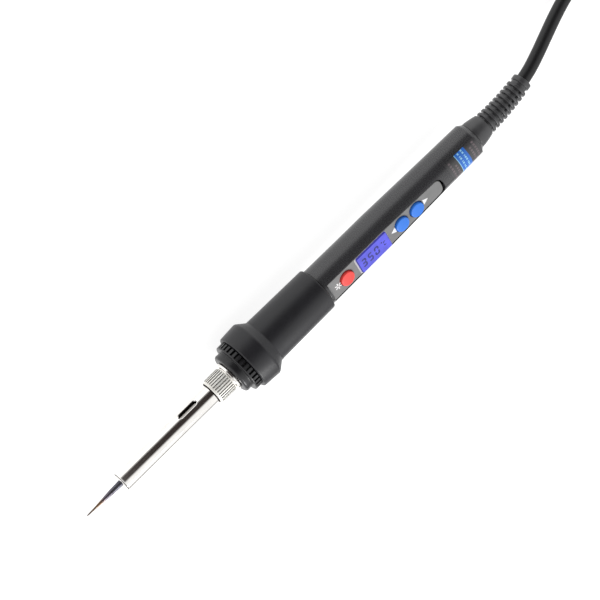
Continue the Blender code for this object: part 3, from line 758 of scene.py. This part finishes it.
def display(lit, rim, digits, pale):
    """The raised window, lit from inside, with the set temperature in bars."""
    body = slab(window_outline(0.0, 0.8), 5.95, LENS_TOP, 0.3)
    lens = piece("lens_fine", body, rim, "handle", "display_lens", slot="lens_clear")
    paint(lens, lit, lambda centre, normal: normal.z > 0.95)
    # A pale grey frame round the window, a painted highlight: the light caught on the window's rim
    frame_out = box_outline(WINDOW_FRONT - 0.75, WINDOW_REAR + 0.3, -5.1, 5.1, 1.0)
    highlight_frame = piece("display_highlight_frame", slab(frame_out, PANEL_TOP - 0.3, PANEL_TOP + 0.15, 0.1), pale, "handle")
    carve(highlight_frame, [slab(window_outline(0.05, 0.85), LEDGE, LENS_TOP)])
    outlines = []
    height, width, pitch, thick, slant = 4.6, 2.6, 3.7, 0.8, 0.09
    for k, mark in enumerate("350"):
        outlines += seven_segments(mark, 156.7 + pitch * k, -height / 2, width, height, thick)
    outlines += seven_segments("C", 169.4, -1.3, 1.5, 2.5, 0.5)
    outlines.append([(168.7 + x, 1.5 + y) for x, y in arc(0, 0, 0.42, 0, 360, 12)[:-1]])
    leaning = [[(x + slant * y, y) for x, y in outline] for outline in outlines]
    flat_print("display_digits", leaning, LENS_TOP + 0.005, digits)


def button(name, station, finish):
    """A round key cap with a slightly crowned top."""
    profile = rounded(
        [
            (4.9, 0.0),
            (4.9, BUTTON_R - 0.1),
            (5.4, BUTTON_R),
            (BUTTON_TOP - 0.05, BUTTON_R, 0.45),
            (BUTTON_TOP + 0.12, 0.0),
        ],
        8,
    )

    def upright(height, y, z):
        return straight(station + z, y, height)

    body = lathe(profile, 96, place=upright)
    slot = "button_red" if name == "power" else "button_blue"
    piece(f"{name}_cap_fine", body, finish, f"{name}_key", f"{name}_button", slot=slot)


def panel_marks(finish):
    """A six-armed power mark and the two arrows beside the temperature buttons."""
    outlines = []
    centre, reach, half = 142.9, 1.8, 0.26
    for k in range(6):
        turn = Matrix.Rotation(math.radians(60 * k + 30), 2)
        arm = [(0.45, -half), (reach, -half), (reach, half), (0.45, half)]
        outlines.append([tuple(turn @ Vector(p) + Vector((centre, 0))) for p in arm])
    for tip, base in ((174.9, 177.6), (197.1, 194.3)):
        outlines.append([(tip, 0.0), (base, 1.5), (base, -1.5)])
    flat_print("panel_marks", outlines, PANEL_TOP + 0.004, finish)


def film(name, patches, lift, finish, *replaced):
    """Printed film that follows the rear of the shell.

    A patch is (front, rear, low angle, high angle), with angles from +Z towards +Y.
    """
    bm = bmesh.new()
    for front, rear, low, high in patches:
        steps = max(1, round((high - low) / 3))
        angles = [math.radians(low + (high - low) * k / steps) for k in range(steps + 1)]
        rings = []
        top = lift + PRINT_THICKNESS
        corners = ((front, lift), (rear, lift), (rear, top), (front, top))
        for station, height in corners:
            radius = shell_radius(station) + height
            places = [straight(station, radius * math.sin(t), radius * math.cos(t)) for t in angles]
            rings.append([bm.verts.new(place) for place in places])
        for first, second in zip(rings, rings[1:] + rings[:1]):
            for k in range(steps):
                bm.faces.new((first[k], first[k + 1], second[k + 1], second[k]))
        bm.faces.new([ring[0] for ring in rings])
        bm.faces.new([ring[-1] for ring in rings])
    return piece(name, bm, finish, "handle", *replaced, slot="label_print")


def rating_label(carrier, band, marks, faint):
    """A grey sticker with a coloured band and rows of plain bars where print would be."""
    low, high = -34, 47
    film("label_carrier", [(211.0, 229.0, low, high)], 0.02, carrier, "rating_label")
    film("label_band", [(217.1, 222.6, low, high)], 0.06, band)
    film("label_edge", [(216.8, 217.1, low, high)], 0.06, marks)
    bars = []
    for k in range(9):
        start = low + 5 + 8.5 * k
        bars.append((218.3, 219.1, start, start + (3 if k % 2 else 6)))
        bars.append((220.4, 221.2, start + 2, start + (8 if k % 3 else 5)))
    film("label_marks", bars, 0.10, marks)
    lines = []
    for station, count in ((212.4, 8), (214.6, 6), (224.2, 7), (226.4, 8)):
        for k in range(count):
            start = low + 3 + 9.5 * k
            lines.append((station, station + 1.0, start, start + 6.0))
    film("label_lines", lines, 0.06, faint)


# Cord end ------------------------------------------------------------------------


def strain_relief(finish):
    """A smooth dome, then ribs whose grooves are bridged by webs on two opposite sides."""
    bore, first, pitch, rib, depth, count = 3.3, 239.15, 2.42, 1.2, 1.35, 9
    points = [
        (224.8, bore),
        (224.8, 5.9),
        (228.1, 5.9),
        (228.1, 4.1),
        (230.6, 4.1),
        (230.6, 6.5, 0.25),
        (232.4, 6.45, 1.2),
        (235.6, 5.9, 4),
        (238.0, 5.35, 0.3),
    ]
    for k in range(count):
        start = first + pitch * k
        outer = 5.3 - 0.07 * k
        points += [
            (start - pitch + rib + 0.05, outer - depth),
            (start - 0.1, outer - depth),
            (start, outer - 0.02, 0.3),
            (start + rib, outer - 0.05, 0.3),
        ]
    points += [(260.1, 3.75), (261.5, 3.75), (261.6, 4.4, 0.3), (264.0, 4.4, 0.5), (264.0, bore)]
    inner = [(a, bore) for a in (260.0, 256.0, 252.0, 248.0, 244.0, 240.0, 232.0)]
    web_angle, web_half = 0.14, 0.10

    def bridged(station, radius, angle):
        """Fills the grooves of all but the first four rows at the webs."""
        row = int((station - first + pitch) / pitch)
        if not 4 <= row < count or radius > 4.6 - 0.07 * row:
            return radius
        away = (angle - web_angle) % math.pi
        return radius + depth - 0.2 if min(away, math.pi - away) < web_half else radius

    body = lathe(rounded(points, 4) + inner, 128, place=bent, shape=bridged)
    piece("boot_fine", body, finish, "handle", "strain_relief_boot", slot="boot_rubber", sharp=40)


def smooth_route(points, per_span=8):
    """Catmull-Rom points through the given ones."""
    points = [Vector(p) for p in points]
    ends = [2 * points[0] - points[1], *points, 2 * points[-1] - points[-2]]
    made = []
    for p0, p1, p2, p3 in zip(ends, ends[1:], ends[2:], ends[3:]):
        for k in range(per_span):
            t = k / per_span
            a = 2 * p1 + (p2 - p0) * t
            b = (2 * p0 - 5 * p1 + 4 * p2 - p3) * t**2
            c = (3 * p1 - p0 - 3 * p2 + p3) * t**3
            made.append(0.5 * (a + b + c))
    return made + [points[-1]]


def hank_route(front, straight_run, low):
    """The folded cord's centreline: five turns in three layers.

    A turn is (half width, height over the first layer). The tip-side folds carry the
    steps from turn to turn, and the far folds are plain half circles.
    """
    wide, narrow, layer = HANK_WIDE, HANK_NARROW, 2 * CORD_R
    turns = ((wide, 0), (narrow, 0), (narrow, 1), (wide, 1), (wide, 2))
    shifts = (0.0, FOLD_ROOM, 0.0, -FOLD_ROOM, 0.0)
    rear = front + straight_run
    route = []
    for k, (half, level) in enumerate(turns):
        z = low + level * layer
        next_half, next_level = turns[k + 1] if k + 1 < len(turns) else (narrow, level)
        next_z = low + next_level * layer
        for i in range(9):
            route.append((front + straight_run * i / 9, half, z))
        for i in range(17):
            t = math.pi * i / 16
            route.append((rear + half * math.sin(t), half * math.cos(t), z))
        for i in range(1, 10):
            route.append((rear - straight_run * i / 9, -half, z))
        mid, radius = (next_half - half) / 2, (next_half + half) / 2
        for i in range(1, 16):
            t = i / 16
            ease = t * t * (3 - 2 * t)
            push = shifts[k] * math.sin(math.pi * t)
            x = front - radius * math.sin(math.pi * t) + push
            route.append((x, mid - radius * math.cos(math.pi * t), z + (next_z - z) * ease))
    return route


def rise_to_plug(start, end):
    """Thirteen points that leave and arrive level with the bench."""
    made = []
    for i in range(13):
        t = i / 12
        ease = t * t * t * (10 - 15 * t + 6 * t * t)
        shares = (t, ease, ease)
        made.append(tuple(a + (b - a) * share for a, b, share in zip(start, end, shares)))
    return made


def path_length(points):
    return sum((Vector(b) - Vector(a)).length for a, b in zip(points, points[1:]))


def cord_route():
    """The whole centreline: boot, bench, hank and plug, with the hank's runs set to fit."""
    plug_low, plug_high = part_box("plug_body")
    plug_end = (plug_low.x + PLUG_ENTRY, 0.0, (plug_low.z + plug_high.z) / 2)
    hank_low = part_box("cord_hank")[0]
    front = hank_low.x + HANK_HALF + FOLD_ROOM
    low = hank_low.z + CORD_R
    lead = smooth_route(LEAD_IN + ((front - 0.004, 0.0238, low),))

    def whole(run):
        folded = hank_route(front, run, low)
        rise = rise_to_plug((front, HANK_NARROW, low + 4 * CORD_R), plug_end)
        return lead + [Vector(p) for p in folded + rise]

    short, long = 0.04, 0.09
    for _ in range(40):
        run = (short + long) / 2
        if path_length(whole(run)) > CORD_LENGTH:
            long = run
        else:
            short = run
    return whole(run)


def plug_sections():
    """From the relief's end to the face: distance, half width, half height, squareness."""
    sections = [(0.0, 3.5, 3.5, 2.0), (0.3, 4.0, 4.0, 2.0), (1.8, 4.1, 4.1, 2.0)]
    for k in range(5):
        start, outer = 2.0 + 3.2 * k, 4.1 + 0.17 * k
        inner = outer - 0.8
        sections += [(start, inner, inner, 2.0), (start + 1.4, inner, inner, 2.0)]
        sections += [(start + 1.6, outer, outer, 2.0), (start + 3.0, outer, outer, 2.0)]
    sections += [
        (18.6, 5.1, 4.95, 2.0),
        (19.2, 7.0, 5.4, 2.2),
        (20.2, 9.4, 5.85, 2.6),
        (22.0, 12.2, 6.2, 3.0),
        (24.5, 14.8, 6.5, 3.5),
        (27.0, 16.7, 6.75, 4.0),
        (30.0, 17.2, 6.8, 4.4),
    ]
    for k in range(5):
        start = 37.0 + 2.0 * k
        sections += [(start, 17.4, 6.8, 4.6), (start + 0.3, 17.4, 6.3, 4.6)]
        sections += [(start + 1.0, 17.4, 6.3, 4.6), (start + 1.3, 17.4, 6.8, 4.6)]
    return sections + [(52.0, 17.65, 6.85, 5.0), (52.7, 17.4, 6.6, 5.0), (53.0, 16.8, 6.1, 5.0)]


def plug_body(finish):
    """A flat moulded plug: ribbed relief, shoulders and finger grips on both broad faces."""
    low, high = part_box("plug_body")
    middle = (low.z + high.z) / 2
    segments = 72
    rings = []
    for along, half_y, half_z, power in plug_sections():
        ring = []
        for k in range(segments):
            angle = math.tau * k / segments
            c, s = math.cos(angle), math.sin(angle)
            y = half_y * math.copysign(abs(c) ** (2 / power), c)
            z = half_z * math.copysign(abs(s) ** (2 / power), s)
            ring.append((low.x + along * MM, y * MM, middle + z * MM))
        rings.append(ring)
    return piece("plug_fine", loft(rings), finish, "handle", "plug_body", slot="plug_pvc", sharp=40)


def plug_pin(node, metal, sleeve):
    """A round pin, insulated next to the plug and rounded at its end."""
    low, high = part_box(node)
    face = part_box("plug_body")[1].x
    centre = Vector((face, (low.y + high.y) / 2, (low.z + high.z) / 2))
    sleeve_end, length = 10.0, 19.0
    profile = rounded(
        [
            (0.05, 0.0),
            (0.05, 2.0),
            (sleeve_end, 2.0, 0.1),
            (sleeve_end + 0.1, 1.9),
            (length, 1.9, 1.0),
            (length, 0.0),
        ]
    )
    body = lathe(profile, 64, place=lambda along, y, z: centre + Vector((along, y, z)) * MM)
    made = piece(f"{node}_fine", body, metal, "handle", node, slot="pin_brass")
    paint(made, sleeve, lambda middle, normal: middle.x < face + (sleeve_end + 0.05) * MM)
    return made


def hank_tie(finish):
    """A woven strap round the hank and the plug, its end lapped over the top."""
    low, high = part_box("hank_tie")
    side, top = high.y / MM - 0.45, high.z / MM - 0.55
    bottom, shoulder, crown = 0.6, 19.6, 16.9
    lapped = top + 0.65
    loop = rounded(
        [
            (8.0, top),
            (-crown, top, 5.0),
            (-side, shoulder, 4.0),
            (-side, bottom, 3.3),
            (side, bottom, 3.3),
            (side, shoulder, 4.0),
            (crown, top, 5.0),
            (12.5, top),
            (9.5, lapped),
            (-9.0, lapped),
        ]
    )
    half, hem = 0.3, 0.4 * MM
    edges = ((low.x, half / 2), (low.x + hem, half), (high.x - hem, half), (high.x, half / 2))
    across = edges + tuple((x, -off) for x, off in reversed(edges))
    sections = []
    for k, (y, z) in enumerate(loop):
        along = Vector(loop[min(k + 1, len(loop) - 1)]) - Vector(loop[max(k - 1, 0)])
        out_y, out_z = along.normalized().y, -along.normalized().x
        sections.append([(x, (y + out_y * off) * MM, (z + out_z * off) * MM) for x, off in across])
    return piece("tie_fine", loft(sections), finish, "handle", "hank_tie", slot="tie_strap", sharp=50)


def cord(finish):
    """The whole mains cord as one curve."""
    route = cord_route()
    curve = bpy.data.curves.new("mains_cord", "CURVE")
    curve.dimensions = "3D"
    curve.bevel_depth = CORD_R
    curve.bevel_resolution = 8
    curve.use_fill_caps = True
    spline = curve.splines.new("POLY")
    spline.points.add(len(route) - 1)
    for point, where in zip(spline.points, route):
        point.co = (*where, 1)
    curve.materials.append(finish)
    obj = bpy.data.objects.new("mains_cord", curve)
    bpy.context.scene.collection.objects.link(obj)
    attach(obj, "handle")
    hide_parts("cord", "cord_hank")


# Stage ---------------------------------------------------------------------------


def stage():
    bpy.ops.mesh.primitive_plane_add(size=6, location=(0, 0, -0.0002))
    floor = bpy.context.active_object
    floor.name = "bench"
    glow = {"Emission Color": (1, 1, 1, 1), "Emission Strength": 0.9}
    white = base_material("bench_white", (0.25, 0.25, 0.25), 0.8, **glow)[0]
    floor.data.materials.append(white)


def world():
    """An even white surround with a dark screen towards +Y and a grey strip towards -Y."""
    made = bpy.data.worlds.new("studio")
    bpy.context.scene.world = made
    made.use_nodes = True
    tree = made.node_tree
    background = tree.nodes["Background"]
    background.inputs["Strength"].default_value = 1.0
    where = tree.nodes.new("ShaderNodeTexCoord")
    parts = tree.nodes.new("ShaderNodeSeparateXYZ")
    tree.links.new(where.outputs["Generated"], parts.inputs["Vector"])

    def maths(operation, first, second):
        node = tree.nodes.new("ShaderNodeMath")
        node.operation = operation
        for socket, value in zip(node.inputs, (first, second)):
            if isinstance(value, (int, float)):
                socket.default_value = value
            else:
                tree.links.new(value, socket)
        return node.outputs[0]

    x, y, z = (parts.outputs[axis] for axis in "XYZ")
    # The screen, by its angle over the horizon and by its reach along X
    height = maths("ARCTAN2", z, y)
    above = span(tree, height, 0.0, 1.0, -0.25, 0.28)
    below = span(tree, height, 1.0, 0.0, 1.05, 1.40)
    aside = maths("ABSOLUTE", maths("SUBTRACT", x, 0.12), 0.0)
    wide = span(tree, aside, 0.78, 0.0, 0.5, 0.8)
    narrow = span(tree, aside, 0.22, 0.0, 0.12, 0.22)
    screen = maths("MULTIPLY", maths("MULTIPLY", above, below), maths("ADD", wide, narrow))
    # The grey strip, low over the horizon
    opposite = maths("ARCTAN2", z, maths("MULTIPLY", y, -1.0))
    strip_low = span(tree, opposite, 0.0, 1.0, 0.02, 0.08)
    strip_high = span(tree, opposite, 1.0, 0.0, 0.3, 0.4)
    strip = maths("MULTIPLY", maths("MULTIPLY", strip_low, strip_high), 0.75)
    shade = ramp(tree, maths("MAXIMUM", screen, strip), (1, 1, 1), (0.035, 0.028, 0.026), (0, 1))
    tree.links.new(shade, background.inputs["Color"])


def key_light():
    data = bpy.data.lights.new("key", "AREA")
    data.size = 0.5
    data.energy = 8
    light = bpy.data.objects.new("key", data)
    light.location = (-0.3, -0.7, 0.9)
    aim = Vector((0, 0, 0.015)) - light.location
    light.rotation_euler = aim.to_track_quat("-Z", "Y").to_euler()
    bpy.context.scene.collection.objects.link(light)


def camera():
    right = Vector((0.7007, -0.3571, 0.6176)).normalized()
    up = Vector((0.6908, 0.5561, -0.4621))
    up = (up - right * up.dot(right)).normalized()
    back = right.cross(up)
    target = Vector((-0.00916, 0.02267, 0.03069))
    data = bpy.data.cameras.new("photo_camera")
    data.sensor_width = 36
    data.lens = 217.8
    distance = 1.5
    obj = bpy.data.objects.new("photo_camera", data)
    place = Matrix((right, up, back)).transposed().to_4x4()
    place.translation = target + back * distance
    obj.matrix_world = place
    bpy.context.scene.collection.objects.link(obj)
    bpy.context.scene.camera = obj


def hidden_parts(steel, black):
    """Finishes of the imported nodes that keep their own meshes."""
    ceramic = speckled("ceramic_white", (0.78, 0.77, 0.72), 0.45, 0.08)
    brass = brushed("locknut_brass", (0.75, 0.60, 0.32), 0.25)
    board = speckled("board_green", (0.02, 0.16, 0.05), 0.35, 0.3, 0.8)
    finishes = {
        "nipple_locknut": brass,
        "heating_element": speckled("heater_glaze", (0.035, 0.030, 0.028), 0.2, 0.3, 1.0, 0.005),
        "heater_collar": ceramic,
        "fuse": ceramic,
        "insulating_bush": speckled("fibre_bush", (0.42, 0.30, 0.18), 0.8, 0.3, 0.6, 0.06),
        "heater_lead_a": moulded("wire_red", (0.50, 0.02, 0.02), 0.5),
        "sensor_lead_a": moulded("wire_white", (0.75, 0.75, 0.72), 0.5),
        "core_live": moulded("wire_brown", (0.16, 0.06, 0.02), 0.5),
        "core_neutral": moulded("wire_blue", (0.03, 0.10, 0.45), 0.5),
        "circuit_board": board,
        "filter_capacitor": moulded("capacitor_film", (0.55, 0.18, 0.03), 0.3),
        "lcd_glass": moulded("lcd_glass_grey", (0.08, 0.09, 0.16), 0.15, grain=0.001),
        "lcd_backlight": moulded("backlight_diffuser", (0.7, 0.72, 0.85), 0.4),
    }
    finishes["heater_lead_b"] = finishes["heater_lead_a"]
    finishes["sensor_lead_b"] = finishes["sensor_lead_a"]
    for name in ("board_screw_1", "board_screw_2", *(f"{key}_switch_housing" for key in BUTTONS)):
        finishes[name] = steel
    for name in ("microcontroller", "triac", "lcd_connector", "cord_anchor", "cord_sheath"):
        finishes[name] = black
    for key in BUTTONS:
        finishes[f"{key}_plunger"] = black
    for name, finish in finishes.items():
        frame["nodes"][name].material_slots[0].material = finish


def hot_end(steel):
    satin = brushed("nut_steel", (1.0, 0.97, 0.90), 0.5, metallic=0.25)
    # Near-black steel, painted shade in the nut's grooves and on its lip
    groove_shade = brushed("groove_shade_steel", (0.06, 0.05, 0.045), 0.45)
    # Dark steel: heat scorching in the bore, painted shade on the ring in front of the nut
    scorch_and_shade = brushed("scorch_and_shade_steel", (0.05, 0.044, 0.043), 0.4)
    shank = brushed("shank_steel", (0.34, 0.32, 0.30), 0.16)
    soldering_tip(heat_tinted("tip_plating"), shank)
    barrel_sleeve(steel, scorch_and_shade)
    barrel_nut(satin, groove_shade)
    nipple(steel)


def handle(cap):
    shell = (0.032, 0.032, 0.035)
    charcoal = moulded("shell_plastic", shell, 0.26, grain=0.005, spread=0.08, **GLOSSY)
    rubber = moulded("grip_rubber", (0.008, 0.008, 0.011), 0.40, grain=0.02, **HALF_GLOSSY)
    front_cap(cap)
    grip_sleeve(rubber)
    handle_shell(charcoal)


def control_panel():
    red = moulded("button_red", (0.90, 0.06, 0.05), 0.42, spread=0.03)
    blue = moulded("button_blue", (0.02, 0.19, 0.76), 0.42, spread=0.03)
    lit = glowing("display_lit", (0.10, 0.10, 0.80), 0.42)
    rim = glowing("display_rim", (0.03, 0.03, 0.30))
    digits = glowing("display_digits", (0.015, 0.015, 0.19))
    # Pale grey for the painted highlight round the display window
    highlight_frame = moulded("highlight_frame_grey", (0.55, 0.53, 0.54), 0.35, spread=0.04)
    panel_plate(moulded("panel_plastic", (0.20, 0.20, 0.20), 0.38, grain=0.006))
    display(lit, rim, digits, highlight_frame)
    for name, station in BUTTONS.items():
        button(name, station, red if name == "power" else blue)
    panel_marks(moulded("mark_white", (0.9, 0.9, 0.9), 0.5, spread=0.02))


def label():
    carrier = moulded("label_grey", (0.045, 0.044, 0.046), 0.3, spread=0.05, **GLOSSY)
    band = moulded("label_blue", (0.03, 0.16, 0.60), 0.3, spread=0.05)
    pale = moulded("label_pale", (0.30, 0.62, 0.85), 0.4, spread=0.05)
    faint = moulded("label_faint", (0.16, 0.13, 0.14), 0.5, spread=0.2)
    rating_label(carrier, band, pale, faint)


def cord_end():
    sheath = moulded("cord_sheath", (0.005, 0.005, 0.006), 0.38)
    nickel = brushed("pin_nickel", (0.72, 0.70, 0.66), 0.22)
    strain_relief(moulded("boot_rubber", (0.040, 0.040, 0.043), 0.36, **GLOSSY))
    on_cord = [
        plug_body(moulded("plug_plastic", (0.014, 0.014, 0.015), 0.42, grain=0.02)),
        plug_pin("plug_pin_live", nickel, sheath),
        plug_pin("plug_pin_neutral", nickel, sheath),
        hank_tie(woven("tie_webbing", (0.03, 0.03, 0.033))),
    ]
    cord(sheath)


def build():
    steel = brushed("barrel_steel", (0.94, 0.92, 0.89), 0.10)
    cap = moulded("cap_plastic", (0.009, 0.009, 0.011), 0.33, **HALF_GLOSSY)
    hot_end(steel)
    handle(cap)
    control_panel()
    label()
    cord_end()
    hidden_parts(steel, cap)


bpy.context.scene.view_settings.view_transform = "Standard"
camera()
stage()
world()
key_light()
build()
